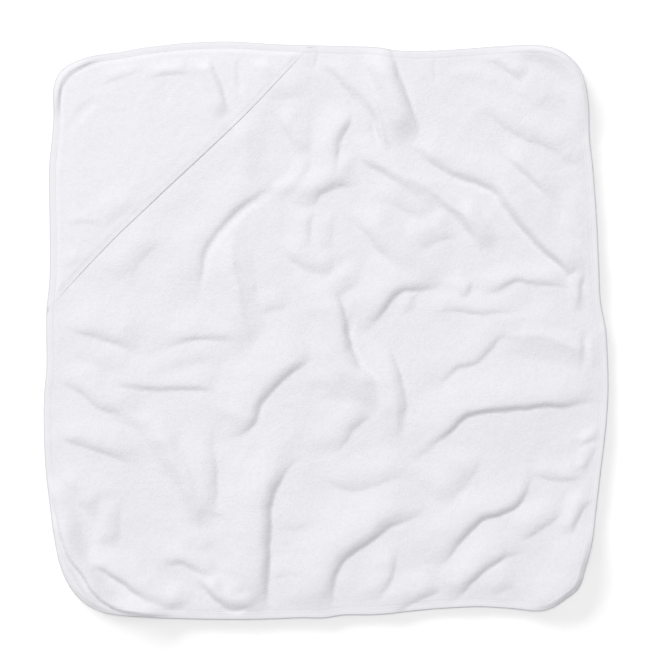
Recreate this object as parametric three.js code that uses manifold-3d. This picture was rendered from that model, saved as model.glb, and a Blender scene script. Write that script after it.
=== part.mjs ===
// Hooded baby towel, laid out flat: a square of cotton terry with rounded corners, a
// triangular terry hood sewn over one corner, and one folded tape bound round the edge.
// Millimetres, +Z up. The origin is the middle of the towel, on the surface it lies on.

import * as THREE from 'three';
import { mergeVertices } from 'three/addons/utils/BufferGeometryUtils.js';
import Module from 'manifold-3d';

const wasm = await Module();
wasm.setup();

// The towel's outline: a square with slightly bowed sides and well rounded corners.
const HALF_WIDTH = 371;
const HALF_LENGTH = 380;
const SQUARENESS = 8;
const OUTLINE_STEPS = 144;

// Cloth, tape and thread.
const TERRY_THICKNESS = 4;
const RIM_THICKNESS = 1.6;
const HOOD_THICKNESS = 3;
const TAPE_WIDTH = 10.6;
const TAPE_THICKNESS = 0.9;
const THREAD_WIDTH = 0.6;
const THREAD_HEIGHT = 0.4;
const GAP = 0.3;

// The hood covers the corner at -X, +Y. Its legs are measured from where the two sides meet.
const HOOD_LEG = 356;
const HOOD_WALL = 3;
const POCKET_HEIGHT = 5;

// Stitch lines, measured in from the edge that each one follows.
const TAPE_SEAM_INSET = 8.4;
const HEM_SEAM_INSET = 8;
const SEAM_END_GAP = 4;

// The tacks that hold the two ends of the hood's free edge.
const TACK_LENGTH = 8;
const TACK_WIDTH = 2.2;
const TACK_HEIGHT = 0.8;

// Levels above the surface, worked out from the thicknesses.
const SLOT_BOTTOM = TAPE_THICKNESS;
const SLOT_TOP = TERRY_THICKNESS - TAPE_THICKNESS;
const RIM_BOTTOM = (TERRY_THICKNESS - RIM_THICKNESS) / 2;
const HOOD_BOTTOM = TERRY_THICKNESS + GAP;
const POCKET_TOP = TERRY_THICKNESS + POCKET_HEIGHT;
const HOOD_TOP = POCKET_TOP + HOOD_THICKNESS;

// The free edge runs along y = x + FREE_EDGE_RISE.
const FREE_EDGE_RISE = HALF_WIDTH + HALF_LENGTH - HOOD_LEG;
const HOOD_INSET = TAPE_WIDTH + GAP;

const white = new THREE.Color(0.93, 0.935, 0.95);

function cloth(roughness) {
  return new THREE.MeshStandardMaterial({ color: white, roughness, metalness: 0 });
}

const materials = {
  terry: cloth(0.95),
  hoodTerry: cloth(0.93),
  tape: cloth(0.85),
  thread: cloth(0.6),
};

// A point of the outline, moved in towards the towel's middle by the inset.
function outlinePoint(angle, inset) {
  const power = 2 / SQUARENESS;
  const c = Math.cos(angle);
  const s = Math.sin(angle);
  const x = HALF_WIDTH * Math.sign(c) * Math.abs(c) ** power;
  const y = HALF_LENGTH * Math.sign(s) * Math.abs(s) ** power;
  const normal = new THREE.Vector2(
    Math.sign(x) * Math.abs(x / HALF_WIDTH) ** (SQUARENESS - 1) / HALF_WIDTH,
    Math.sign(y) * Math.abs(y / HALF_LENGTH) ** (SQUARENESS - 1) / HALF_LENGTH,
  ).normalize();
  return new THREE.Vector2(x, y).addScaledVector(normal, -inset);
}

// The outline's angles are spread so that its points lie closer together round the corners.
function outlineAngles() {
  const angles = [];
  for (let i = 0; i < OUTLINE_STEPS; i += 1) {
    const turn = (2 * Math.PI * i) / OUTLINE_STEPS;
    angles.push(turn + Math.PI / OUTLINE_STEPS);
  }
  return angles;
}

function toSolid(geometry) {
  geometry.deleteAttribute('normal');
  geometry.deleteAttribute('uv');
  const merged = mergeVertices(geometry, 1e-4);
  return new wasm.Manifold(new wasm.Mesh({
    numProp: 3,
    vertProperties: new Float32Array(merged.attributes.position.array),
    triVerts: new Uint32Array(merged.index.array),
  }));
}

function toGeometry(solid) {
  const mesh = solid.getMesh();
  const geometry = new THREE.BufferGeometry();
  geometry.setAttribute('position', new THREE.BufferAttribute(mesh.vertProperties, 3));
  geometry.setIndex(new THREE.BufferAttribute(mesh.triVerts, 1));
  geometry.computeVertexNormals();
  return geometry;
}

// A flat solid of the towel's outline, drawn in by the inset, between two levels.
function outlineSlab(inset, bottom, top) {
  const shape = new THREE.Shape(outlineAngles().map((angle) => outlinePoint(angle, inset)));
  const geometry = new THREE.ExtrudeGeometry(shape, { depth: top - bottom, bevelEnabled: false });
  geometry.translate(0, 0, bottom);
  return toSolid(geometry);
}

// A solid of everything on the hood's side of its free edge.
function hoodSide() {
  const reach = HALF_WIDTH + HALF_LENGTH;
  const corner = new THREE.Shape([
    new THREE.Vector2(-reach, FREE_EDGE_RISE - reach),
    new THREE.Vector2(reach - FREE_EDGE_RISE, reach),
    new THREE.Vector2(-reach, reach),
  ]);
  const geometry = new THREE.ExtrudeGeometry(corner, { depth: 2 * HOOD_TOP, bevelEnabled: false });
  return toSolid(geometry);
}

function addPiece(group, name, geometry, material) {
  const piece = new THREE.Mesh(geometry, material);
  piece.name = name;
  group.add(piece);
  return piece;
}

// The main square of terry. Its rim is pressed thin where it lies inside the tape.
function towelPanel() {
  const body = outlineSlab(HOOD_INSET, 0, TERRY_THICKNESS);
  const rim = outlineSlab(TAPE_THICKNESS + GAP, RIM_BOTTOM, RIM_BOTTOM + RIM_THICKNESS);
  return toGeometry(body.add(rim));
}

// One tape folded round the edge: a face side, a back side and the fold that joins them.
function edgeBinding() {
  const outside = outlineSlab(0, 0, TERRY_THICKNESS);
  const inside = outlineSlab(TAPE_WIDTH, -1, TERRY_THICKNESS + 1);
  const slot = outlineSlab(TAPE_THICKNESS, SLOT_BOTTOM, SLOT_TOP);
  return toGeometry(outside.subtract(inside).subtract(slot));
}

// The hood: a triangle of terry over a pocket that is open along the free edge.
function hoodPanel() {
  const block = outlineSlab(HOOD_INSET, HOOD_BOTTOM, HOOD_TOP);
  const pocket = outlineSlab(HOOD_INSET + HOOD_WALL, HOOD_BOTTOM - 1, POCKET_TOP);
  return toGeometry(block.intersect(hoodSide()).subtract(pocket));
}

// The seam that holds the tape, as a thin ring of thread on the tape's face side.
function bindingStitching() {
  const bottom = TERRY_THICKNESS + GAP;
  const top = bottom + THREAD_HEIGHT;
  const outside = outlineSlab(TAPE_SEAM_INSET, bottom, top);
  const inside = outlineSlab(TAPE_SEAM_INSET + THREAD_WIDTH, bottom - 1, top + 1);
  return toGeometry(outside.subtract(inside));
}

// The seam of the hood's hem, as a straight thread beside the free edge.
function addHemStitching(group) {
  const rise = FREE_EDGE_RISE + HEM_SEAM_INSET * Math.SQRT2;
  const left = new THREE.Vector2(-HALF_WIDTH + HOOD_INSET, -HALF_WIDTH + HOOD_INSET + rise);
  const top = new THREE.Vector2(HALF_LENGTH - HOOD_INSET - rise, HALF_LENGTH - HOOD_INSET);
  const length = left.distanceTo(top) - 2 * SEAM_END_GAP;
  const geometry = new THREE.BoxGeometry(length, THREAD_WIDTH, THREAD_HEIGHT);
  const thread = addPiece(group, 'hood_hem_stitching', geometry, materials.thread);
  const middle = left.add(top).multiplyScalar(0.5);
  thread.position.set(middle.x, middle.y, HOOD_TOP + GAP + THREAD_HEIGHT / 2);
  thread.rotation.z = Math.PI / 4;
}

// Two dense rows of thread on the tape, one at each end of the hood's free edge.
function addTacks(group) {
  const inset = TAPE_WIDTH / 2;
  const level = TERRY_THICKNESS + GAP + TACK_HEIGHT / 2;
  const leftX = -HALF_WIDTH + inset;
  const topY = HALF_LENGTH - inset;
  const onSide = new THREE.BoxGeometry(TACK_WIDTH, TACK_LENGTH, TACK_HEIGHT);
  const onTop = new THREE.BoxGeometry(TACK_LENGTH, TACK_WIDTH, TACK_HEIGHT);
  addPiece(group, 'hood_tack_side', onSide, materials.thread)
    .position.set(leftX, leftX + FREE_EDGE_RISE, level);
  addPiece(group, 'hood_tack_top', onTop, materials.thread)
    .position.set(topY - FREE_EDGE_RISE, topY, level);
}

const towel = new THREE.Group();
addPiece(towel, 'towel_panel', towelPanel(), materials.terry);
addPiece(towel, 'edge_binding', edgeBinding(), materials.tape);
addPiece(towel, 'binding_stitching', bindingStitching(), materials.thread);
addPiece(towel, 'hood_panel', hoodPanel(), materials.hoodTerry);
addHemStitching(towel);
addTacks(towel);

export default towel;
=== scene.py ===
"""Hooded baby towel, laid out flat and a little rumpled on a plain white floor.

The towel and its hood are sheets of terry with real thickness, the edge is bound with a
folded tape, and the seams are rows of separate stitches. Lengths in the modelling code are
millimetres and are turned into metres when a mesh is made.
"""
import math

import bpy
import numpy as np
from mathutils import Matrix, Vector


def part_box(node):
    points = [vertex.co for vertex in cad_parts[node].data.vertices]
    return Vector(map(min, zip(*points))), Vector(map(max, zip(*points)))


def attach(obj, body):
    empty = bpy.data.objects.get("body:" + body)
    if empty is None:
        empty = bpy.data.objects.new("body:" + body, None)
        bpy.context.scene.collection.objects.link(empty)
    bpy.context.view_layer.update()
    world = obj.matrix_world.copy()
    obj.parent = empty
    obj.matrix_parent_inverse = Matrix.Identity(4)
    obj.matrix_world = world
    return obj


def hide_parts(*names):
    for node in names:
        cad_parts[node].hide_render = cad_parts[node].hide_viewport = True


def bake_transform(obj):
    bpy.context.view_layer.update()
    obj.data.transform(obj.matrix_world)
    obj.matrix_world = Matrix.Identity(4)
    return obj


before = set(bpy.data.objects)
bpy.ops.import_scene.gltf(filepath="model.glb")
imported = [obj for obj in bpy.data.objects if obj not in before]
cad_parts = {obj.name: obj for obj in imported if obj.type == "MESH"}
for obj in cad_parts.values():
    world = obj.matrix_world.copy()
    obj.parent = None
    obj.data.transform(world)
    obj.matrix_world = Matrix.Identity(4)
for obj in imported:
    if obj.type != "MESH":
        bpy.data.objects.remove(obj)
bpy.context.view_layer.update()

MM = 0.001

# ---------------------------- sizes, in millimetres

HALF_WIDTH = 1000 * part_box("edge_binding")[1][0]
HALF_LENGTH = 1000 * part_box("edge_binding")[1][1]
SQUARENESS = 8             # exponent of the rounded square that the towel is cut to
TAPE_WIDTH = 10.6
TAPE_THICKNESS = 0.8
TERRY = 3.6                # thickness of the terry where it lies free
RIM = 2.75                 # and where the tape presses it
HOOD_TERRY = 2.0
HOOD_RIM = 0.7
HOOD_GAP = 0.12            # air between the towel and the hood lying on it
TERRY_INSET = 2.0          # the cut edge of the terry, in from the tape's fold
FOLD_REACH = 2.4           # where the tape's two sides start to turn into its fold
TAPE_CLEARANCE = 0.9       # the least height of the terry's rim, with the tape under it
SEAM_INSET = 8.5           # the tape's seam, in from the edge
HEM_INSET = 8.0            # the hem's seam, in from the hood's free edge
STITCH_PITCH = 3.3
STITCH_LENGTH = 2.5
THREAD_RADIUS = 0.26
STITCH_SINK = 0.05         # how far the hem's stitches lie in the pile
SHOULDER_SPREAD = 1.7      # widens every shoulder below
FOLD_SHARPNESS = 2.6       # 1 would add overlapping folds up, and more lets the higher one win
EDGE_SHARE = 0.45          # the share of their height that folds keep at the towel's edge
FULL_FOLD_DEPTH = 38       # and how far in from the edge they have all of it
LOFT = 3.2                 # how far the rumpled cloth stands off the floor on average

# Layers of noise: (height, distance between lumps).
WAVER = [(3.5, 42), (1.2, 14)]                 # sideways drift of the creases
SWELL = [(1.3, 75), (0.7, 30), (0.35, 13)]     # unevenness of the laid towel
HOOD_SWELL = [(0.4, 60), (0.25, 24)]
PILE = [(0.07, 6.5), (0.06, 3.9)]

# The hood's free edge runs along y = x + FREE_EDGE_RISE.
FREE_EDGE_RISE = 395.0
HOOD_REACH = 236           # from the middle of the free edge to the hood's corner

# How far the laid-out edge lies inside the rounded square, at angles in degrees from +X.
EDGE_INSETS = [
    (-180, 3), (-172, 3), (-167, 0), (-160, 0), (-153, 3), (-147, 9), (-140, 13), (-135, 11),
    (-130, 4), (-122, 3), (-112, 1), (-103, 1), (-94, 3), (-90, 3), (-87, 6), (-80, 7),
    (-73, 12), (-66, 17), (-60, 19), (-56, 15), (-52, 7), (-48, 11), (-45, 12), (-43, 17),
    (-36, 17), (-29, 11), (-21, 3), (-12, -2), (-5, -1), (1, 2), (6, 8), (14, 11), (22, 14),
    (31, 20), (37, 24), (42, 16), (47, 2), (52, -4), (56, 0), (62, 6), (70, 10), (76, 9),
    (80, 5), (88, 3), (99, 1), (110, -3), (116, -1), (122, 4), (127, 8), (131, 4), (137, -3),
    (141, 8), (150, 7), (160, 8), (170, 7), (176, 3),
]

# Creases: the cloth stands high on the left of the path and drops steeply across it.
# Each is (height, width of the high shoulder, half width of the drop, path), and some have the
# share of the path over which the ends fade as well.
CREASES = [
    # left of the middle
    (5, 34, 6, [(-170, 34), (-168, 75), (-163, 103), (-149, 122), (-131, 145), (-111, 170), (-89, 186),
        (-52, 196)]),
    (2.9, 30, 9, [(-262, 68), (-252, 92), (-232, 112), (-212, 130)]),
    (3.5, 36, 15, [(-76, -30), (-90, 0), (-98, 30), (-102, 60), (-108, 88), (-108, 112), (-96, 145)]),
    (5, 34, 7.5, [(-352, 16), (-330, 9), (-305, 1), (-278, -8), (-238, -20)]),
    (4, 34, 5, [(-222, -13), (-190, -11), (-160, -9), (-135, -10), (-96, -14)]),
    (4.4, 26, 4.8, [(-295, -70), (-262, -72), (-220, -74), (-180, -75), (-135, -80)], 0.22),
    (4.7, 26, 8, [(-362, -48), (-335, -68), (-305, -86), (-290, -99), (-268, -104), (-232, -106)]),
    (3.5, 24, 6, [(-262, -100), (-242, -124), (-228, -150), (-214, -174), (-198, -194), (-186, -215),
        (-181, -240), (-178, -272)]),
    (5.2, 28, 6, [(-362, -127), (-330, -141), (-305, -150), (-275, -161), (-248, -174)]),
    (5, 22, 8, [(-362, -180), (-340, -203), (-320, -224), (-290, -242)]),
    (3.6, 14, 8, [(-282, -290), (-277, -250), (-279, -212)]),
    (6.4, 26, 8, [(-148, -262), (-149, -222), (-147, -195), (-150, -165), (-156, -138), (-148, -118)]),
    (3, 16, 4, [(-190, -230), (-165, -234), (-140, -242), (-118, -253)]),
    (3.6, 26, 9, [(-140, -196), (-118, -194), (-96, -184), (-80, -172)]),
    (8.4, 42, 7, [(-140, -140), (-112, -130), (-98, -116), (-90, -98), (-77, -78), (-62, -60), (-45, -46),
        (-28, -34), (-10, -18)], 0.28),
    (12.3, 46, 8.4, [(-82, -400), (-81, -345), (-81, -300), (-80, -262), (-79, -235), (-72, -213),
        (-62, -190), (-50, -171), (-37, -160), (-16, -155)]),
    (9, 22, 5, [(-326, -302), (-294, -310), (-272, -323), (-250, -340), (-234, -353), (-212, -361),
        (-172, -364)], 0.2),
    (5.4, 22, 5, [(-222, -304), (-192, -301), (-172, -311), (-152, -319), (-130, -320)]),
    (2.9, 24, 10, [(-205, -285), (-175, -290), (-150, -300)]),
    (6, 16, 5, [(-136, -346), (-112, -342), (-96, -326)]),
    (9, 16, 5.5, [(-166, -318), (-152, -338), (-139, -352), (-122, -359), (-100, -359), (-78, -352)], 0.25),
    (2.4, 18, 4, [(-78, -323), (-50, -319), (-15, -319)]),
    (1.6, 20, 5, [(-66, -252), (-30, -256), (10, -252), (45, -246)]),
    # below and right of the middle
    (10, 44, 8, [(-6, -400), (2, -355), (9, -330), (15, -308), (26, -292), (45, -279), (62, -268),
        (85, -255), (105, -244), (122, -232), (146, -222)]),
    (5, 34, 13, [(138, -230), (162, -216), (180, -200), (191, -180), (196, -150)]),
    (8.4, 40, 6, [(130, -318), (152, -298), (170, -277), (188, -262), (205, -248), (225, -240), (242, -232),
        (254, -220), (262, -202), (268, -185), (274, -166)]),
    (7.6, 30, 6, [(150, -358), (178, -342), (188, -329), (205, -316), (225, -303), (240, -292),
        (268, -282)]),
    (6.2, 26, 5, [(78, -382), (100, -360), (120, -352), (140, -343), (162, -333)]),
    (5, 20, 6, [(60, -364), (74, -338), (81, -322), (85, -306), (92, -270)]),
    (7.8, 42, 5, [(94, -180), (122, -160), (140, -146), (157, -132), (172, -117), (184, -108), (202, -104),
        (225, -100), (250, -96), (285, -94), (320, -95), (345, -90), (390, -84)]),
    (4.4, 34, 4.8, [(138, -98), (152, -66), (166, -46), (185, -41), (205, -33), (216, -22), (224, -10),
        (240, -6), (272, -6)]),
    (3, 30, 13, [(262, -6), (290, -8), (325, -26), (362, -55)]),
    (5.2, 30, 9, [(0, -172), (18, -145), (28, -130), (42, -117), (64, -92)]),
    (7, 24, 5.5, [(97, -132), (102, -105), (101, -80), (94, -55), (86, -35), (74, -10)]),
    (4, 16, 11, [(20, 14), (14, 36), (19, 53), (37, 66), (58, 75)], 0.4),
    (9, 34, 6.5, [(84, -62), (56, -57), (39, -48), (31, -28), (28, -8), (25, 12), (20, 32), (12, 50),
        (24, 66)], 0.22),
    (4.2, 22, 10, [(2, -84), (14, -74), (26, -62), (44, -54)]),
    (7, 38, 5.5, [(46, -2), (65, 20), (75, 33), (85, 47), (98, 56), (115, 60), (135, 62), (162, 67)]),
    (4.6, 26, 10, [(-20, -172), (5, -190), (30, -200), (60, -199), (85, -190), (128, -178)]),
    (4.8, 20, 8, [(242, -274), (270, -262), (295, -248), (326, -228)]),
    (6, 14, 4.5, [(318, -276), (324, -258), (332, -240), (341, -226), (358, -212)]),
    (3.4, 18, 4, [(264, -182), (290, -192), (312, -195), (348, -186)]),
    (3.6, 8, 4, [(332, -150), (345, -143), (362, -137)]),
    (3.8, 8, 5, [(336, -188), (346, -165), (357, -144)]),
    (3, 18, 8, [(208, -350), (232, -336), (254, -326)]),
    # above and right of the middle
    (12, 20, 8.5, [(112, 244), (112, 272), (106, 298), (98, 320), (91, 342), (84, 366), (77, 400)], 0.32),
    (4, 10, 4, [(86, 332), (72, 352), (58, 372)]),
    (6.2, 24, 5, [(22, 186), (14, 212), (14, 236), (19, 258), (27, 276), (30, 300)], 0.25),
    (7.5, 24, 8, [(-30, 158), (-14, 180), (2, 190), (18, 196), (50, 203)]),
    (4.4, 20, 7, [(-22, 100), (-22, 135), (-20, 168)]),
    (3, 18, 8, [(6, 100), (7, 130), (4, 162)]),
    (5, 26, 6, [(-22, 362), (-6, 356), (10, 345), (30, 326), (47, 305), (60, 282), (66, 256)]),
    (5.8, 28, 6, [(108, 254), (135, 230), (155, 217), (175, 207), (195, 199), (212, 193),
        (240, 180)], 0.25),
    (8.4, 30, 5.5, [(200, 198), (222, 188), (234, 172), (250, 152), (266, 136), (280, 120), (292, 106),
        (306, 92), (336, 62)], 0.2),
    (6, 22, 5, [(30, 262), (42, 244), (56, 227), (78, 210), (100, 196), (122, 181), (142, 166),
        (158, 146)]),
    (4, 26, 12, [(66, 192), (92, 176), (118, 162), (150, 148)]),
    (7.4, 26, 11, [(34, 168), (56, 138), (74, 114), (92, 90), (108, 56)]),
    (4.2, 20, 10, [(112, 104), (130, 118), (145, 128), (174, 138)]),
    (6.4, 16, 6, [(168, 176), (180, 154), (192, 132), (206, 104)]),
    (4, 18, 4.5, [(190, 49), (225, 57), (240, 65), (256, 70), (275, 64), (300, 62), (334, 58)]),
    (4.2, 16, 4.5, [(166, 42), (182, 48), (192, 72)]),
    (3.8, 18, 4.5, [(128, 26), (165, 29), (190, 25), (225, 24), (280, 27)]),
    (3, 20, 9, [(200, 8), (240, 4), (280, 6), (330, 12)]),
    (5.4, 20, 6, [(198, 366), (222, 356), (238, 347), (268, 328)]),
    (3, 24, 12, [(246, 330), (268, 312), (290, 290)]),
    (5, 24, 8, [(190, 304), (225, 286), (244, 271), (262, 259), (300, 242), (345, 224)]),
    (6, 20, 5, [(226, 246), (242, 228), (256, 214), (274, 200), (302, 172)]),
    (3, 18, 8, [(304, 236), (322, 228), (345, 226)]),
    (3.2, 22, 12, [(312, 190), (318, 160), (314, 120)]),
    (5, 10, 4, [(340, 24), (334, 42), (334, 60), (342, 86)]),
    (2.6, 12, 5, [(116, 28), (114, 42), (118, 56)]),
    # between the hood and the middle
    (4.6, 22, 8, [(-122, 286), (-116, 250), (-114, 222), (-122, 196)]),
    (4.6, 18, 6, [(-66, 298), (-50, 272), (-38, 252), (-30, 226)]),
    (2.2, 20, 9, [(-92, 308), (-60, 316), (-20, 312)]),
    (5, 22, 9, [(-64, 122), (-40, 100), (-16, 84), (14, 70)]),
    (2.2, 16, 5, [(-90, 24), (-68, 30), (-44, 35)]),
]

# Ridges stand up on both sides of their path: (height, half width, path).
RIDGES = [
    (4, 18, [(-86, 176), (-62, 186), (-40, 200), (-28, 222), (-22, 250)]),
    (2.6, 24, [(-360, -28), (-320, -22), (-280, -38), (-250, -50), (-215, -45), (-180, -32), (-140, -28),
        (-100, -34)]),
    (2.4, 18, [(-290, -104), (-262, -108), (-242, -120), (-225, -146)]),
    (2.6, 16, [(-316, -326), (-285, -342), (-258, -360)]),
    (3.4, 16, [(-178, -328), (-160, -324), (-138, -334), (-122, -330)]),
    (4, 10, [(55, 330), (66, 305), (73, 280), (79, 250), (90, 225)]),
    (7, 14, [(56, 236), (75, 218), (94, 206), (115, 199), (138, 189), (162, 174), (184, 156), (208, 136),
        (232, 112)]),
    (1.8, 16, [(165, 352), (195, 338), (236, 318)]),
    (2.6, 20, [(235, 185), (262, 160), (290, 128), (315, 100)]),
    (2.6, 18, [(190, 16), (250, 14), (300, 14), (350, 18)]),
    (3.6, 18, [(52, 4), (66, -26), (76, -56), (84, -110), (78, -150)]),
    (2.4, 22, [(60, 170), (75, 140), (95, 112), (112, 92)]),
    (2, 20, [(-128, -225), (-118, -190), (-100, -150), (-70, -120)]),
]

# Valleys are narrow hollows along their path: (depth, half width, path).
VALLEYS = [
    (2.4, 9, [(-162, 38), (-160, 72), (-155, 101), (-141, 119), (-123, 141), (-104, 164), (-82, 180),
        (-54, 190)]),
    (3, 8, [(30, 330), (50, 303), (61, 284), (66, 262), (72, 236)]),
    (2, 7, [(122, 236), (155, 212), (195, 194), (226, 180), (250, 148), (280, 116), (306, 88), (332, 62)]),
    (3, 9, [(338, -50), (342, -22), (345, 10)]),
    (1.4, 6, [(143, 364), (146, 340), (145, 322)]),
    (3, 3.5, [(-14, 384), (-12, 366), (-15, 346)]),
    (3.5, 5, [(-142, -360), (-126, -366), (-112, -366), (-98, -360)]),
    (3, 7, [(36, 26), (36, 0), (40, -26), (52, -46)]),
]

# Broad slopes: like creases, with a crisp top edge and a soft foot.
SLOPES = [
    (8.5, 20, 12, [(-262, -106), (-243, -124), (-226, -152), (-210, -180), (-194, -202), (-186, -226),
        (-182, -250), (-168, -272)]),
    (6, 16, 6, [(100, -150), (102, -120), (99, -88), (92, -58), (84, -24)]),
    (7.5, 30, 11, [(-84, -34), (-96, 0), (-102, 30), (-104, 60), (-108, 88), (-106, 118), (-92, 152)]),
    (6.5, 22, 16, [(215, -26), (250, -22), (290, -24), (325, -36), (362, -62)]),
]

# Bends in the rim, drawn by marks on the outline: (angle in degrees, inset from the edge).
# The cloth is high on the left of the path: (height, shoulder, drop, taper, marks).
EDGE_ROLLS = [
    # the lower right corner rolls down and outwards
    (9, 34, 3.6, 0.34, [(-56, 1.5), (-53, 2.5), (-50.5, 4), (-48, 5), (-45, 5.5), (-42.5, 5), (-40, 3.5),
        (-37, 2), (-34, 1)]),
    # the lower left corner is bent down along a line across it, and again at the edge
    (7.2, 24, 2.3, 0.14, [(-153, 4), (-149, 7), (-145, 10), (-141, 14), (-138, 19), (-135, 25), (-132, 21),
        (-129, 15), (-126, 9), (-122, 5), (-118, 4)]),
    (6.2, 18, 8, 0.3, [(-148, 6), (-143, 10), (-139, 14), (-135, 17), (-131, 13), (-127, 8)]),
    (5, 14, 2.8, 0.3, [(-147, 3), (-140, 3.5), (-134, 4), (-128, 3.5), (-120, 3), (-112, 3)]),
    # the upper right corner rolls down a little
    (6, 16, 2.8, 0.3, [(36, 3), (42, 4), (46, 4.5), (50, 4), (54, 3.5), (60, 3)]),
    # the upper left corner's tape stands up above the terry
    (5, 9, 2.4, 0.3, [(142, 9), (139, 10), (137, 11.5), (135, 11.5), (133, 11), (131, 10), (128.5, 9)]),
]

# Slight shapes in the hood itself.
HOOD_CREASES = [
    (5.4, 14, 4.5, [(-128, 284), (-135, 304), (-142, 328), (-150, 346), (-160, 366)], 0.25),
    (2.2, 12, 4, [(-240, 337), (-205, 341), (-172, 343)]),
    (2, 20, 9, [(-300, 140), (-270, 158), (-240, 170)]),
    (2, 14, 6, [(-304, 328), (-270, 338), (-232, 352)]),
    (3.6, 12, 5, [(-60, 330), (-70, 346), (-84, 366)]),
    (1.6, 12, 4, [(-350, 88), (-326, 92), (-300, 88)]),
    (1.4, 12, 3, [(-345, 142), (-315, 146), (-290, 140)]),
]
HOOD_VALLEYS = [
    (2.2, 10, [(-344, 258), (-327, 282), (-298, 308)]),
    (2.6, 7, [(-112, 378), (-113, 345), (-111, 308)]),
    (1.5, 6, [(-211, 338), (-209, 318), (-208, 298)]),
    (1.5, 5, [(-182, 370), (-182, 356), (-180, 342)]),
]


# ---------------------------- numbers and curves

def smoothstep(t):
    """0 up to 0, 1 from 1 on, smooth between them."""
    t = np.clip(t, 0, 1)
    return t * t * (3 - 2 * t)


def ease(value, start, length):
    """0 up to start, 1 from start + length on, smooth between them."""
    return smoothstep((value - start) / length)


def noise(x, y, cell, seed):
    """Smooth noise from -1 to 1, with lumps about cell apart."""
    size = 64
    table = np.random.default_rng(seed).uniform(-1, 1, (size, size))
    u, v = np.asarray(x) / cell, np.asarray(y) / cell
    i, j = np.floor(u).astype(int), np.floor(v).astype(int)
    su, sv = smoothstep(u - i), smoothstep(v - j)
    i0, i1, j0, j1 = i % size, (i + 1) % size, j % size, (j + 1) % size
    low = table[i0, j0] * (1 - su) + table[i1, j0] * su
    high = table[i0, j1] * (1 - su) + table[i1, j1] * su
    return low * (1 - sv) + high * sv


def layers(parts, x, y, seed):
    """Layers of noise together, each with a seed of its own."""
    return sum(height * noise(x, y, cell, seed + k) for k, (height, cell) in enumerate(parts))


def smooth_path(points, steps=5):
    """The points joined by a Catmull-Rom curve."""
    p = np.array([points[0], *points, points[-1]], float)
    t = np.linspace(0, 1, steps, endpoint=False)[:, None]
    spans = []
    for a, b, c, d in zip(p[:-3], p[1:-2], p[2:-1], p[3:]):
        spans.append(0.5 * (2 * b + (c - a) * t + (2 * a - 5 * b + 4 * c - d) * t ** 2
                            + (3 * b - a - 3 * c + d) * t ** 3))
    return np.vstack([*spans, p[-1:]])


def run_of(points):
    """How far along the path through them each point lies."""
    return np.concatenate([[0], np.cumsum(np.hypot(*np.diff(points, axis=0).T))])


def read_along(want, run, points):
    """Points that lie at the distances run, read at the distances wanted."""
    return np.column_stack([np.interp(want, run, column) for column in points.T])


def locate(path, x, y):
    """How far each point lies to the path's right, and how far along the path, 0 to 1."""
    nearest = np.full(x.shape, np.inf)
    side = np.zeros(x.shape)
    along, total = np.zeros(x.shape), np.zeros(x.shape)
    lengths = np.hypot(*np.diff(path, axis=0).T)
    starts = np.concatenate([[0], np.cumsum(lengths)])
    for k, (a, b) in enumerate(zip(path[:-1], path[1:])):
        dx, dy = (b - a) / lengths[k]
        s = np.clip((x - a[0]) * dx + (y - a[1]) * dy, 0, lengths[k])
        ox, oy = x - a[0] - s * dx, y - a[1] - s * dy
        distance = np.hypot(ox, oy)
        closer = distance < nearest
        nearest = np.where(closer, distance, nearest)
        side = np.where(closer, np.sign(ox * dy - oy * dx), side)
        weight = (distance ** 2 + 9) ** -4.0
        along += weight * (starts[k] + s) / starts[-1]
        total += weight
    return nearest * side, along / total


def stroke(points, reach, x, y, profile, taper=0.35):
    """A shape drawn along a path: profile gives its height from the distance to the path."""
    path = smooth_path(points)
    low, high = path.min(axis=0) - reach, path.max(axis=0) + reach
    near = (x > low[0]) & (x < high[0]) & (y > low[1]) & (y < high[1])
    out = np.zeros(x.shape)
    if near.any():
        distance, along = locate(path, x[near], y[near])
        fade = smoothstep(along / taper) * smoothstep((1 - along) / taper)
        out[near] = profile(distance, fade) * fade
    return out


def crease(height, shoulder, drop, points, x, y, taper=0.35):
    """A fold that rises slowly on the left of its path and drops steeply across it."""
    width = SHOULDER_SPREAD * shoulder

    def profile(d, fade):
        half = drop * (1.9 - 0.7 * fade)
        rise = smoothstep((d + half + width) / width) ** 1.5
        fall = (1 - np.clip((d + half) / (1.6 * half), 0, 1) ** 2) ** 0.8
        return height * np.where(d < -half, rise, fall)
    return stroke(points, width + 2 * drop, x, y, profile, taper)


def slope(height, shoulder, drop, points, x, y):
    """A fold with a crisp top edge whose drop runs out softly at its foot."""
    width = SHOULDER_SPREAD * shoulder

    def profile(d, fade):
        rise = smoothstep((d + drop + width) / width) ** 1.5
        fall = (1 - np.clip((d + drop) / (2 * drop), 0, 1)) ** 1.25
        return height * np.where(d < -drop, rise, fall)
    return stroke(points, width + 2 * drop, x, y, profile)


def ridge(height, width, points, x, y):
    """A rounded bank along the path, the same on both sides."""
    def profile(d, fade):
        return height * smoothstep(1 - np.abs(d) / width)
    return stroke(points, width, x, y, profile)


# ---------------------------- the towel's outline

def edge_inset(angle):
    """The laid-out edge's inset at angles in degrees, smoothly round the whole outline."""
    known = sorted(EDGE_INSETS)
    known = [(a - 360, v) for a, v in known] + known + [(a + 360, v) for a, v in known]
    at = np.array([a for a, _ in known], float)
    value = np.array([v for _, v in known], float)
    slope = np.gradient(value, at)
    k = np.clip(np.searchsorted(at, angle) - 1, 0, len(at) - 2)
    width = at[k + 1] - at[k]
    t = (angle - at[k]) / width
    return ((2 * t ** 3 - 3 * t ** 2 + 1) * value[k] + (t ** 3 - 2 * t ** 2 + t) * width * slope[k]
            + (3 * t ** 2 - 2 * t ** 3) * value[k + 1] + (t ** 3 - t ** 2) * width * slope[k + 1])


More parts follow.
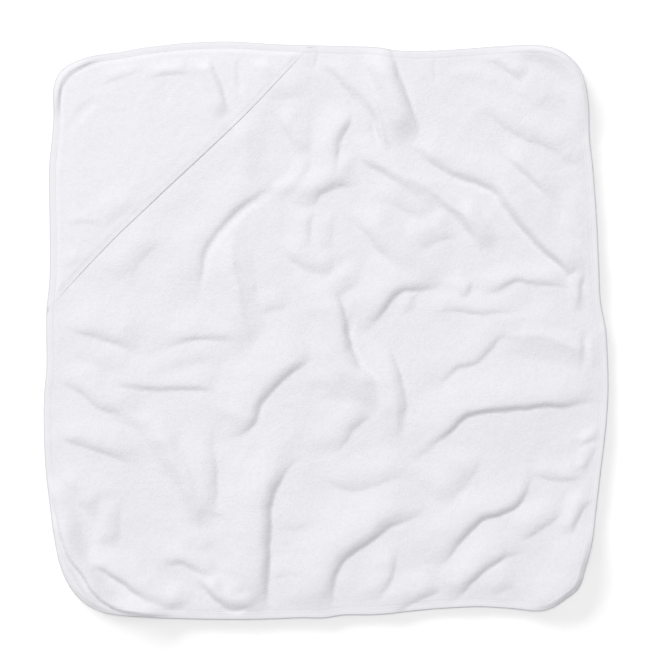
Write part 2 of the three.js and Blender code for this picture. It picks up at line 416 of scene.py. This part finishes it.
def edge_radius(angle):
    """Distance from the middle to the laid-out edge, at angles in radians."""
    c, s = np.abs(np.cos(angle)), np.abs(np.sin(angle))
    square = ((c / HALF_WIDTH) ** SQUARENESS + (s / HALF_LENGTH) ** SQUARENESS) ** (-1 / SQUARENESS)
    degrees = (np.degrees(angle) + 180) % 360 - 180
    return square - edge_inset(degrees)


def on_edge(marks):
    """Points at (angle in degrees, inset from the laid-out edge)."""
    angle, inset = np.array(marks, float).T
    angle = np.radians(angle)
    radius = edge_radius(angle) - inset
    return np.column_stack([radius * np.cos(angle), radius * np.sin(angle)])


def make_outline(stations):
    """Evenly spaced points round the edge, counterclockwise, and their inward normals."""
    angle = np.linspace(0, 2 * np.pi, 8 * stations, endpoint=False)
    radius = edge_radius(angle)
    fine = np.column_stack([radius * np.cos(angle), radius * np.sin(angle)])
    closed = np.vstack([fine, fine[:1]])
    run = run_of(closed)
    points = read_along(np.linspace(0, run[-1], stations, endpoint=False), run, closed)
    tangent = np.roll(points, -1, axis=0) - np.roll(points, 1, axis=0)
    tangent /= np.linalg.norm(tangent, axis=1)[:, None]
    normals = np.column_stack([-tangent[:, 1], tangent[:, 0]])
    return points, normals, run[-1]


EDGE_STATIONS = 1160
edge_points, edge_normals, EDGE_LENGTH = make_outline(EDGE_STATIONS)
edge_path = np.vstack([edge_points[::4], edge_points[:1]])    # a coarser one for distances


def edge_depth(x, y):
    """How far each point lies inside the towel's edge."""
    distance, _ = locate(edge_path, x, y)
    return -distance


# ---------------------------- the cloth's shape

def inner_folds(x, y, depth):
    """Height of the creases, slopes, ridges and valleys together."""
    x, y = x + layers(WAVER, x, y, 1), y + layers(WAVER, x, y, 3)
    total = np.zeros(x.shape)
    for height, shoulder, drop, points, *taper in CREASES:
        total += crease(height, shoulder, drop, points, x, y, *taper) ** FOLD_SHARPNESS
    for height, shoulder, drop, points in SLOPES:
        total += slope(height, shoulder, drop, points, x, y) ** FOLD_SHARPNESS
    for height, width, points in RIDGES:
        total += ridge(height, width, points, x, y) ** FOLD_SHARPNESS
    folds = total ** (1 / FOLD_SHARPNESS)
    for deep, width, points in VALLEYS:
        folds = folds - ridge(deep, width, points, x, y)
    return folds * (EDGE_SHARE + (1 - EDGE_SHARE) * ease(depth, 0, FULL_FOLD_DEPTH))


def under_towel(x, y, depth):
    """Height of the towel's underside above the floor."""
    folds = inner_folds(x, y, depth)
    rolls = np.zeros(x.shape)
    for height, shoulder, drop, taper, marks in EDGE_ROLLS:
        rolls += crease(height, shoulder, drop, on_edge(marks), x, y, taper)
    free = ease(x - y + FREE_EDGE_RISE, -30, 60)    # 0 under the hood, 1 clear of it
    soft = LOFT + layers(SWELL, x, y, 5)
    soft = soft * (0.9 + 0.1 * ease(depth, 0, 30)) * (0.5 + 0.5 * free)
    shape = soft + np.hypot(np.maximum(folds, 0), rolls) + np.minimum(folds, 0)
    # The terry comes down softly to the floor, and at its rim to the tape.
    floor = TAPE_CLEARANCE * (1 - ease(depth, 11, 14))
    lifted = shape - floor
    return floor + 0.5 * (lifted + np.sqrt(lifted ** 2 + 0.8))


def towel_thickness(depth):
    """The terry's thickness: pressed thin in the tape and full beside it."""
    return RIM + (TERRY - RIM) * ease(depth, TAPE_WIDTH - 4.6, 6.5)


def pile(x, y, depth):
    """The unevenness of the terry's pile, pressed flat at the tape."""
    return layers(PILE, x, y, 11) * ease(depth, TAPE_WIDTH, 5)


def towel_top(x, y, depth):
    """Height of the towel's upper side, with the unevenness of its pile."""
    return under_towel(x, y, depth) + towel_thickness(depth) + pile(x, y, depth)


def free_edge_bow(x, y):
    """How far the hood's free edge wanders in from the straight line, a slight S."""
    place = x + y + 5
    lower = 3.4 * np.sin(np.clip(-place / 325, 0, 1) * math.pi)
    upper = -3.5 * np.sin(np.clip(place / 365, 0, 1) * math.pi)
    return lower + upper


def from_free_edge(x, y):
    """How far each point lies inside the hood's free edge."""
    return (y - x - FREE_EDGE_RISE) / math.sqrt(2) - free_edge_bow(x, y)


def under_hood(x, y, depth):
    """Height of the hood's underside, lying on the towel."""
    shape = np.zeros(x.shape)
    for height, shoulder, drop, points, *taper in HOOD_CREASES:
        shape += crease(height, shoulder, drop, points, x, y, *taper)
    for deep, width, points in HOOD_VALLEYS:
        shape -= ridge(deep, width, points, x, y)
    wave = 1.0 + layers(HOOD_SWELL, x, y, 21) + shape
    loose = ease(depth, TAPE_WIDTH, 26) * ease(from_free_edge(x, y), 2, 26)
    return towel_top(x, y, depth) + HOOD_GAP + np.maximum(wave, 0) * loose


def hood_rim(depth):
    """The thickness of the hood's edges, thinnest where they are sewn under the tape."""
    return HOOD_RIM * (0.3 + 0.7 * ease(depth, TAPE_WIDTH, 24))


def hood_thickness(x, y, depth):
    """The hood's thickness, full inside its free edge and its sewn sides."""
    inside = ease(depth, TAPE_WIDTH - 3, 8) * ease(from_free_edge(x, y), 0, 12)
    rim = hood_rim(depth)
    return rim + (HOOD_TERRY - rim) * inside


def tape_rest(x, y, depth):
    """Top of whatever the tape's face side is pressed against."""
    hood = ease(y - x - FREE_EDGE_RISE, -6, 12)
    return under_towel(x, y, depth) + RIM + hood * (HOOD_GAP + hood_rim(depth))


# ---------------------------- meshes

def new_mesh(name, verts, faces, uv=None):
    """A mesh object from points in millimetres. uv holds one pair for each vertex."""
    mesh = bpy.data.meshes.new(name)
    mesh.from_pydata((np.asarray(verts) * MM).tolist(), [], [tuple(f) for f in faces])
    mesh.validate()
    mesh.polygons.foreach_set("use_smooth", [True] * len(mesh.polygons))
    if uv is not None:
        layer = mesh.uv_layers.new(name="cloth")
        corner = np.empty(len(mesh.loops), int)
        mesh.loops.foreach_get("vertex_index", corner)
        layer.data.foreach_set("uv", (np.asarray(uv) * MM)[corner].ravel())
    mesh.update()
    piece = bpy.data.objects.new(name, mesh)
    bpy.context.scene.collection.objects.link(piece)
    return piece


def grid_faces(rows, columns, start=0, flip=False):
    """Quads over a grid of vertices numbered from start, row by row."""
    row, column = np.meshgrid(np.arange(rows - 1), np.arange(columns - 1), indexing="ij")
    first = (start + row * columns + column).ravel()
    faces = np.column_stack([first, first + 1, first + columns + 1, first + columns])
    return faces[:, ::-1] if flip else faces


def towel_grid(rows, columns, inset):
    """A square grid pulled in to the towel's outline, drawn in by the inset."""
    across, up = np.meshgrid(np.linspace(-1, 1, columns), np.linspace(-1, 1, rows))
    x, y = HALF_WIDTH * across, HALF_LENGTH * up
    share = np.maximum(np.abs(across), np.abs(up))    # 0 in the middle, 1 round the border
    reach = np.hypot(x, y) / np.maximum(share, 1e-9)
    reach[share == 0] = HALF_WIDTH
    radius = edge_radius(np.arctan2(y, x)) - inset
    pull = 1 + (radius / reach - 1) * share ** 6      # almost all of it near the border
    return (x * pull).ravel(), (y * pull).ravel()


def ring_of(rows, columns):
    """Vertex numbers round the border of a grid, counterclockwise."""
    bottom = list(range(columns))
    right = [r * columns + columns - 1 for r in range(1, rows)]
    top = [(rows - 1) * columns + c for c in range(columns - 2, -1, -1)]
    left = [r * columns for r in range(rows - 2, 0, -1)]
    return bottom + right + top + left


def make_towel():
    """The towel's terry: a fine upper side, a coarser underside and the rim that joins them."""
    rows, columns = 289, 283
    coarse = 3             # cells of the upper side to each cell of the underside
    x, y = towel_grid(rows, columns, TERRY_INSET)
    depth = edge_depth(x, y)
    top = np.column_stack([x, y, towel_top(x, y, depth)])
    low_rows, low_columns = (rows - 1) // coarse + 1, (columns - 1) // coarse + 1
    pick = coarse * (np.arange(low_rows)[:, None] * columns + np.arange(low_columns)).ravel()
    bottom = np.column_stack([x[pick], y[pick], under_towel(x[pick], y[pick], depth[pick])])
    start = len(top)
    faces = [grid_faces(rows, columns), grid_faces(low_rows, low_columns, start, flip=True)]
    upper, lower = ring_of(rows, columns), ring_of(low_rows, low_columns)
    rim = []
    for k, a in enumerate(lower):
        b = lower[(k + 1) % len(lower)]
        above = [upper[(coarse * k + step) % len(upper)] for step in range(coarse + 1)]
        rim += [(start + a, after, before) for before, after in zip(above[:-2], above[1:-1])]
        rim += [(start + a, start + b, above[-2]), (start + b, above[-1], above[-2])]
    verts = np.vstack([top, bottom])
    all_faces = [f for block in faces for f in block.tolist()] + rim
    return new_mesh("towel", verts, all_faces, verts[:, :2])


def hood_frame():
    """Stations of the hood: points on its sewn sides and the matching ones on its free edge."""
    ring = edge_points + edge_normals * TERRY_INSET
    sewn = ring[ring[:, 1] - ring[:, 0] > FREE_EDGE_RISE]
    run = run_of(sewn)
    columns = 191
    outer = read_along(np.linspace(0, run[-1], columns), run, sewn)
    t = np.linspace(0, 1, columns)[:, None]
    free = outer[0] * (1 - t) + outer[-1] * t
    bow = free_edge_bow(free[:, 0], free[:, 1]) / math.sqrt(2)
    return outer, free + np.column_stack([-bow, bow])


def make_hood():
    """The hood's terry, stretched between its free edge and its sewn sides, with rounded edges."""
    outer, free = hood_frame()
    columns, rows = len(outer), 92
    v = np.linspace(0, 1, rows)[:, None, None]
    grid = free[None] * (1 - v) + outer[None] * v
    # The free edge wanders a little.
    wobble = 0.4 * noise(grid[..., 0], grid[..., 1], 40, 31) * (1 - v[..., 0]) ** 4
    x, y = (grid[..., 0] + wobble).ravel(), (grid[..., 1] - wobble).ravel()
    depth = edge_depth(x, y)
    base = under_hood(x, y, depth)
    edge_round = 2.6       # how far the free edge's rounding reaches in
    to_edge = np.repeat(np.linspace(0, 1, rows), columns) * HOOD_REACH
    rounding = np.sqrt(np.clip(1 - (1 - np.clip(to_edge / edge_round, 0, 1)) ** 2, 0, 1))
    full = hood_thickness(x, y, depth)
    thick = full * (0.4 + 0.6 * rounding)
    middle = base + 0.5 * full
    elsewhere = 500        # so that the hood's pile isn't the towel's own
    top_z = middle + 0.5 * thick + 0.7 * pile(x + elsewhere, y, depth)
    bottom_z = middle - 0.5 * thick
    count = rows * columns
    verts = np.vstack([np.column_stack([x, y, top_z]), np.column_stack([x, y, bottom_z])])
    faces = grid_faces(rows, columns, flip=True).tolist()
    faces += grid_faces(rows, columns, count).tolist()
    border = ring_of(rows, columns)
    for k, a in enumerate(border):
        b = border[(k + 1) % len(border)]
        faces.append((a, b, b + count, a + count))
    return new_mesh("hood", verts, faces, verts[:, :2])


def make_binding():
    """The tape: its face side, the fold round the edge and its back side, as one closed strip."""
    run = np.arange(EDGE_STATIONS) * EDGE_LENGTH / EDGE_STATIONS
    turns = 8              # steps round the fold
    above_floor = 0.03

    def level(inset, height):
        x, y = (edge_points + edge_normals * inset[:, None]).T
        return height(x, y, np.maximum(inset, 0.5))

    pucker = 0.0875 * noise(run, run * 0, 9, 41)
    width = TAPE_WIDTH + 0.35 * noise(run, run * 0, 17, 42)
    ones = np.ones(EDGE_STATIONS)
    # Each mark is (inset from the edge, share of the tape's thickness above or below the terry).
    face_marks = [(width, 0.25), (width - 0.25, 0.75), (width - 1.2, 0.95),
                  (SEAM_INSET * ones, 0.7), (6.9 * ones, 1.0), (5 * ones, 1.15),
                  (FOLD_REACH * ones, 1.0)]
    back_marks = [(FOLD_REACH * ones, 1), (5 * ones, 1), (SEAM_INSET * ones, 0.8),
                  (width - 0.3, 1), (width, 0.4)]
    inner_marks = [(width, 0.05), (6 * ones, 0.0), (FOLD_REACH * ones, 0.0)]
    section = []
    for inset, lift in face_marks:
        section.append((inset, level(inset, tape_rest) + TAPE_THICKNESS * lift + pucker))
    upper = level(FOLD_REACH * ones, tape_rest) + TAPE_THICKNESS
    lower = np.maximum(level(FOLD_REACH * ones, under_towel) - TAPE_THICKNESS, above_floor)
    middle, half = (upper + lower) / 2, (upper - lower) / 2
    for k in range(1, turns):
        turn = math.pi * k / turns
        reach = FOLD_REACH * (1 - math.sin(turn))
        section.append((reach * ones, middle + half * math.cos(turn)))
    for inset, lift in back_marks:
        height = level(inset, under_towel) - TAPE_THICKNESS * lift
        section.append((inset, np.maximum(height, 0.02)))
    for inset, lift in inner_marks:
        section.append((inset, level(inset, under_towel) - lift))
    for inset, lift in reversed(inner_marks):
        section.append((inset, level(inset, tape_rest) + lift))
    columns = len(section)
    verts = np.empty((EDGE_STATIONS, columns, 3))
    uv = np.empty((EDGE_STATIONS, columns, 2))
    apex = len(face_marks) + turns // 2 - 1    # the section's point on the fold itself
    for k, (inset, z) in enumerate(section):
        verts[:, k, :2] = edge_points + edge_normals * inset[:, None]
        verts[:, k, 2] = z
        uv[:, k, 0] = run
        if abs(k - apex) <= 3:
            uv[:, k, 1] = (apex - k) * FOLD_REACH / 4
        else:
            uv[:, k, 1] = inset if k < apex else -inset
    here = np.arange(EDGE_STATIONS * columns).reshape(EDGE_STATIONS, columns)
    ahead = np.roll(here, -1, axis=0)
    corners = [here, ahead, np.roll(ahead, -1, axis=1), np.roll(here, -1, axis=1)]
    faces = np.stack(corners, axis=2).reshape(-1, 4)
    return new_mesh("binding", verts.reshape(-1, 3), faces.tolist(), uv.reshape(-1, 2))


def thread_bead(start, end, up):
    """One stitch: a short length of thread that dips into the cloth at both ends."""
    sides = 6
    along = np.array([0.0, 0.12, 0.35, 0.65, 0.88, 1.0])
    dip = np.array([-1.0, -0.1, 0.45, 0.45, -0.1, -1.0])
    fat = np.array([0.35, 0.8, 1.0, 1.0, 0.8, 0.35])
    direction = (end - start) / np.linalg.norm(end - start)
    side = np.cross(up, direction)
    rings = []
    for a, d, f in zip(along, dip, fat):
        middle = start + (end - start) * a + up * d * THREAD_RADIUS
        radius = THREAD_RADIUS * f
        for k in range(sides):
            turn = 2 * math.pi * k / sides
            rings.append(middle + radius * (side * math.cos(turn) + up * math.sin(turn)))
    faces = []
    for r in range(len(along) - 1):
        for k in range(sides):
            m = (k + 1) % sides
            faces.append((r * sides + k, (r + 1) * sides + k, (r + 1) * sides + m, r * sides + m))
    last = (len(along) - 1) * sides
    faces.append(tuple(reversed(range(sides))))
    faces.append(tuple(last + k for k in range(sides)))
    return rings, [f[::-1] for f in faces]


def make_threads(name, stitches, side=1):
    """One piece from many stitches, each (start, end), on top of the cloth (1) or below (-1)."""
    up = np.array([0.0, 0.0, side])
    verts, faces = [], []
    for start, end in stitches:
        ring, quads = thread_bead(np.array(start), np.array(end), up)
        faces += [tuple(len(verts) + v for v in quad) for quad in quads]
        verts += ring
    return new_mesh(name, np.array(verts), faces)


def around(run, values):
    """Values given at the outline's points, read at distances along it."""
    stations = np.arange(EDGE_STATIONS) * EDGE_LENGTH / EDGE_STATIONS
    return np.column_stack([np.interp(run, stations, v, period=EDGE_LENGTH) for v in values.T])


def seam_stitches(side):
    """Stitches round the tape, on its face side (1) or its back (-1)."""
    count = int(EDGE_LENGTH / STITCH_PITCH)
    starts = np.arange(count) * EDGE_LENGTH / count
    depth = np.full(count, SEAM_INSET)
    marks = []
    for run in (starts, starts + STITCH_LENGTH):
        x, y = (around(run, edge_points) + around(run, edge_normals) * SEAM_INSET).T
        if side > 0:
            z = tape_rest(x, y, depth) + TAPE_THICKNESS * 0.85
        else:
            z = np.maximum(under_towel(x, y, depth) - TAPE_THICKNESS * 0.7, 0.3)
        marks.append(np.column_stack([x, y, z]))
    return zip(*marks)


def hem_stitches():
    """Stitches along the hood's hem, sunk a little in the pile."""
    shift = HEM_INSET * math.sqrt(2)
    clear = 20             # from the towel's edges to the ends of the row
    left = -HALF_WIDTH + clear
    right = HALF_LENGTH - FREE_EDGE_RISE - shift - clear
    length = (right - left) * math.sqrt(2)
    count = int(length / STITCH_PITCH)
    starts = left + np.arange(count) * (right - left) / count
    marks = []
    for x in (starts, starts + STITCH_LENGTH / math.sqrt(2)):
        y = x + FREE_EDGE_RISE + shift
        bow = free_edge_bow(x, y) / math.sqrt(2)
        x, y = x - bow, y + bow
        depth = edge_depth(x, y)
        z = under_hood(x, y, depth) + hood_thickness(x, y, depth) - STITCH_SINK
        marks.append(np.column_stack([x, y, z]))
    return zip(*marks)


def tack_stitches(node):
    """A bar tack: short threads side by side, as wide as the tack's CAD node is."""
    low, high = (1000 * np.array(corner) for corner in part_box(node))
    middle, size = (low + high) / 2, high - low
    along = 0 if size[0] > size[1] else 1
    across = 1 - along
    slant = 0.12
    found = []
    for offset in np.linspace(-0.5, 0.5, 13) * (size[along] - 0.6):
        ends = []
        for sign in (-0.5, 0.5):
            place = middle[:2].copy()
            place[along] += offset + slant * sign
            place[across] += size[across] * sign
            x, y = place[:1], place[1:]
            z = tape_rest(x, y, edge_depth(x, y)) + TAPE_THICKNESS + 0.03
            ends.append((x[0], y[0], z[0]))
        found.append(ends)
    return found


# ---------------------------- materials

YARN = 0.00055                     # width of the tape's yarns, in metres
ONE_BAND = 0.31                    # the wave texture's scale that puts one band in each cell
FOLD_PAINTED_SHADE = (0.76, 0.76, 0.77)    # painted shade: the tape's colour is darker along its fold, for the shade at the towel's outline


class Nodes:
    """Short names for building a material's node tree."""

    def __init__(self, name):
        self.material = bpy.data.materials.new(name)
        self.material.use_nodes = True
        self.tree = self.material.node_tree
        self.tree.nodes.clear()
        self.shader = self.add("ShaderNodeBsdfPrincipled")
        output = self.add("ShaderNodeOutputMaterial")
        self.link(self.shader.outputs["BSDF"], output.inputs["Surface"])
        self.where = self.add("ShaderNodeUVMap", uv_map="cloth")

    def add(self, kind, **settings):
        node = self.tree.nodes.new(kind)
        for key, value in settings.items():
            setattr(node, key, value)
        return node

    def link(self, a, b):
        self.tree.links.new(a, b)

    def fix(self, node, values):
        """Plain values for a node's own sockets."""
        for socket, value in values.items():
            node.inputs[socket].default_value = value

    def scaled(self, x, y, angle=0.0):
        """The cloth's own coordinates, in cells of x by y metres."""
        mapping = self.add("ShaderNodeMapping")
        self.fix(mapping, {"Scale": (1 / x, 1 / y, 1), "Rotation": (0, 0, angle)})
        self.link(self.where.outputs["UV"], mapping.inputs["Vector"])
        return mapping.outputs["Vector"]

    def noise(self, cell, detail=2.0, roughness=0.5):
        node = self.add("ShaderNodeTexNoise")
        self.fix(node, {"Scale": 1.0, "Detail": detail, "Roughness": roughness})
        self.link(self.scaled(cell, cell), node.inputs["Vector"])
        return node.outputs["Fac"]

    def math(self, operation, a, b=None):
        node = self.add("ShaderNodeMath", operation=operation)
        for socket, value in zip(node.inputs, (a, b)):
            if value is None:
                continue
            if isinstance(value, (int, float)):
                socket.default_value = value
            else:
                self.link(value, socket)
        return node.outputs[0]

    def ramp(self, value, low, high, dark, light):
        node = self.add("ShaderNodeValToRGB")
        for stop, place, colour in zip(node.color_ramp.elements, (low, high), (dark, light)):
            stop.position = place
            stop.color = (*colour, 1)
        self.link(value, node.inputs["Fac"])
        return node.outputs["Color"]

    def weighted(self, *parts):
        """The sum of values, each times its weight."""
        terms = [self.math("MULTIPLY", value, weight) for value, weight in parts]
        total = terms[0]
        for term in terms[1:]:
            total = self.math("ADD", total, term)
        return total

    def shaded(self, value, low, high, tint, share):
        """The tint, down to a share of it where the value is low: painted shade in a relief's low places.
        """
        return self.ramp(value, low, high, tuple(share * part for part in tint), tint)

    def bump(self, height, distance, strength=1.0):
        """Give the shader a relief of this height, with the distance in metres."""
        node = self.add("ShaderNodeBump")
        self.fix(node, {"Strength": strength, "Distance": distance})
        self.link(height, node.inputs["Height"])
        self.link(node.outputs["Normal"], self.shader.inputs["Normal"])


def terry_material(name, tint, loop, depth, patch):
    """Looped cotton pile: rows of small soft loops with uneven tufts, and slight painted shade where they
    are low.
    """
    n = Nodes(name)
    loops = n.add("ShaderNodeTexVoronoi", feature="SMOOTH_F1")
    n.fix(loops, {"Scale": 1.0, "Randomness": 0.75, "Smoothness": 0.6})
    n.link(n.scaled(loop, loop * 1.25), loops.inputs["Vector"])
    tufts = n.noise(patch, 3.0, 0.6)
    fuzz = n.noise(0.0006, 2.0, 0.6)
    raised = n.math("SUBTRACT", 1.0, loops.outputs["Distance"])
    n.bump(n.weighted((raised, 0.7), (tufts, 1.1), (fuzz, 0.25)), depth)
    # Painted shade: the colour falls to 93% of the tint where loops and tufts are low, in the hollows
    # between them.
    shade = n.weighted((raised, 0.45), (tufts, 0.55))
    n.link(n.shaded(shade, 0.25, 0.65, tint, 0.93), n.shader.inputs["Base Color"])
    rough = n.add("ShaderNodeMapRange")
    n.fix(rough, {"To Min": 0.98, "To Max": 0.86})
    n.link(shade, rough.inputs["Value"])
    n.link(rough.outputs["Result"], n.shader.inputs["Roughness"])
    n.fix(n.shader, {"Specular IOR Level": 0.2, "Sheen Weight": 0.12, "Sheen Roughness": 0.6})
    return n.material


def tape_material(name, tint):
    """Plain-woven cotton tape: fine crossing yarns, a little slub."""
    n = Nodes(name)
    waves = []
    for direction in ("X", "Y"):
        wave = n.add("ShaderNodeTexWave", bands_direction=direction)
        n.fix(wave, {"Scale": ONE_BAND, "Distortion": 0.6, "Detail": 1.0})
        n.link(n.scaled(YARN, YARN, math.pi / 4), wave.inputs["Vector"])
        waves.append(wave.outputs["Fac"])
    weave = n.math("MULTIPLY", waves[0], waves[1])
    slub = n.noise(0.004, 3.0, 0.6)
    n.bump(n.weighted((weave, 0.6), (slub, 0.8)), 0.00012, 0.8)
    # Painted shade: the colour falls to 94% of the tint where the weave and slub are low, between the
    # yarns.
    mixed = n.weighted((weave, 0.5), (slub, 0.5))
    across = n.add("ShaderNodeSeparateXYZ")
    n.link(n.where.outputs["UV"], across.inputs["Vector"])
    from_fold = n.math("ABSOLUTE", across.outputs["Y"])
    # Painted shade along the fold: it fades between 1.1 and 2.2 mm from the fold.
    painted_fold_shade = n.ramp(n.math("MULTIPLY", from_fold, 200.0), 0.22, 0.44, FOLD_PAINTED_SHADE, (1, 1, 1))
    colour = n.add("ShaderNodeMixRGB", blend_type="MULTIPLY")
    colour.inputs["Fac"].default_value = 1.0
    n.link(n.shaded(mixed, 0.2, 0.7, tint, 0.94), colour.inputs["Color1"])
    n.link(painted_fold_shade, colour.inputs["Color2"])
    n.link(colour.outputs["Color"], n.shader.inputs["Base Color"])
    n.fix(n.shader, {"Roughness": 0.85, "Specular IOR Level": 0.25, "Sheen Weight": 0.08})
    return n.material


def thread_material(name, tint):
    """Two-ply sewing thread: a fine twist along each stitch."""
    n = Nodes(name)
    place = n.add("ShaderNodeTexCoord")
    wave = n.add("ShaderNodeTexWave", bands_direction="DIAGONAL")
    n.fix(wave, {"Scale": 900.0, "Distortion": 1.5})
    n.link(place.outputs["Object"], wave.inputs["Vector"])
    twist = wave.outputs["Fac"]
    n.bump(twist, 0.0001, 0.6)
    # Painted shade: the thread is a little darker in the grooves of its twist.
    n.link(n.shaded(twist, 0.1, 0.9, tint, 0.94), n.shader.inputs["Base Color"])
    n.fix(n.shader, {"Roughness": 0.6, "Specular IOR Level": 0.35, "Sheen Weight": 0.1})
    return n.material


def plain_material(name, colour):
    material = bpy.data.materials.new(name)
    material.use_nodes = True
    shader = material.node_tree.nodes["Principled BSDF"]
    shader.inputs["Base Color"].default_value = (*colour, 1)
    shader.inputs["Roughness"].default_value = 0.9
    shader.inputs["Specular IOR Level"].default_value = 0.1
    return material


# ---------------------------- stage, light and camera, in metres

FLOOR_WHITE = (0.785, 0.785, 0.785)
CAMERA_HEIGHT = 3.0
VIEW_WIDTH = 0.871         # width of the floor that the camera sees
VIEW_CENTRE = (0.006, 0.0025)
FLOOR_SIZE = 16.0


def make_stage():
    bpy.ops.mesh.primitive_plane_add(size=FLOOR_SIZE, location=(0, 0, 0))
    floor = bpy.context.object
    floor.name = "floor"
    floor.data.materials.append(plain_material("floor_white", FLOOR_WHITE))


def add_lamp(name, azimuth, elevation, distance, size, energy, colour, lights_up):
    """A rectangular lamp pointing at the middle of the floor; angles in degrees, sizes in metres.

    It lights only what the collection lights_up takes in.
    """
    lamp = bpy.data.lights.new(name, "AREA")
    lamp.shape = "RECTANGLE"
    lamp.size, lamp.size_y = size
    lamp.energy = energy
    lamp.color = colour
    holder = bpy.data.objects.new(name, lamp)
    azimuth, elevation = math.radians(azimuth), math.radians(elevation)
    holder.location = (distance * math.cos(azimuth) * math.cos(elevation),
                       distance * math.sin(azimuth) * math.cos(elevation),
                       distance * math.sin(elevation))
    holder.rotation_euler = (-holder.location).to_track_quat("-Z", "Y").to_euler()
    holder.visible_camera = False
    holder.light_linking.receiver_collection = lights_up
    bpy.context.scene.collection.objects.link(holder)


def make_lights():
    scene = bpy.context.scene
    scene.view_settings.view_transform = "Standard"
    world = bpy.data.worlds.new("studio")
    world.use_nodes = True
    background = world.node_tree.nodes["Background"]
    background.inputs["Color"].default_value = (0.985, 0.99, 1.0, 1)
    background.inputs["Strength"].default_value = 0.45
    scene.world = world
    # The towel has one softbox. The floor has lamps of its own, one overhead and two low ones,
    # which leave a faint wide shadow all round the towel in place of a dark one close to it.
    floor = bpy.data.objects["floor"]
    floor_only = bpy.data.collections.new("floor_only")
    floor_only.objects.link(floor)
    not_floor = bpy.data.collections.new("not_floor")
    not_floor.objects.link(floor)
    not_floor.collection_objects[0].light_linking.link_state = "EXCLUDE"
    warm, neutral = (1.0, 0.995, 0.99), (1.0, 1.0, 1.0)
    add_lamp("softbox", 120, 60, 9.0, (7.9, 7.0), 681, warm, not_floor)
    add_lamp("overhead", 117, 84, 40.0, (24.0, 24.0), 10450, warm, floor_only)
    add_lamp("low_left", 131, 13.5, 45.0, (39.0, 10.0), 31000, neutral, floor_only)
    add_lamp("low_right", 0, 13.5, 45.0, (39.0, 10.0), 5600, neutral, floor_only)


def make_camera():
    data = bpy.data.cameras.new("camera")
    data.sensor_width = 36
    data.lens = data.sensor_width * CAMERA_HEIGHT / VIEW_WIDTH
    data.clip_end = 50
    camera = bpy.data.objects.new("camera", data)
    camera.location = (*VIEW_CENTRE, CAMERA_HEIGHT)
    bpy.context.scene.collection.objects.link(camera)
    bpy.context.scene.camera = camera


# ---------------------------- the hood's pieces


def bend_with_hood(piece):
    """Bake the piece's transform into its mesh."""
    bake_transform(piece)


# ---------------------------- the object

make_camera()
make_stage()
make_lights()

COTTON = (0.822, 0.816, 0.848)
# Painted light: the hood's tint is the towel's cotton made about 2% lighter, for the brighter light on the
# towel's upper left.
HOOD_LIT_COTTON = (0.836, 0.830, 0.862)
TAPE_COTTON = (0.850, 0.845, 0.876)
THREAD_COTTON = (0.82, 0.82, 0.83)
terry = terry_material("terry", COTTON, loop=0.0017, depth=0.0005, patch=0.006)
hood_terry = terry_material("hood_terry", HOOD_LIT_COTTON, loop=0.0016, depth=0.0004, patch=0.008)
tape = tape_material("tape", TAPE_COTTON)
thread = thread_material("thread", THREAD_COTTON)

towel = make_towel()
towel.data.materials.append(terry)
hood = make_hood()
hood.data.materials.append(hood_terry)
binding = make_binding()
binding.data.materials.append(tape)
seam_face = make_threads("binding_stitches_face", seam_stitches(1))
seam_back = make_threads("binding_stitches_back", seam_stitches(-1), -1)
hem = make_threads("hem_stitches", hem_stitches())
tack_side = make_threads("tack_side", tack_stitches("hood_tack_side"))
tack_top = make_threads("tack_top", tack_stitches("hood_tack_top"))
for piece in (seam_face, seam_back, hem, tack_side, tack_top):
    piece.data.materials.append(thread)

for piece in (towel, binding, seam_face, seam_back, tack_side, tack_top):
    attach(piece, "towel")
for piece in (hood, hem):
    bend_with_hood(piece)

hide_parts("towel_panel")
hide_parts("hood_panel")
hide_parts("edge_binding")
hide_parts("binding_stitching")
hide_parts("hood_hem_stitching")
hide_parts("hood_tack_side")
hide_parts("hood_tack_top")
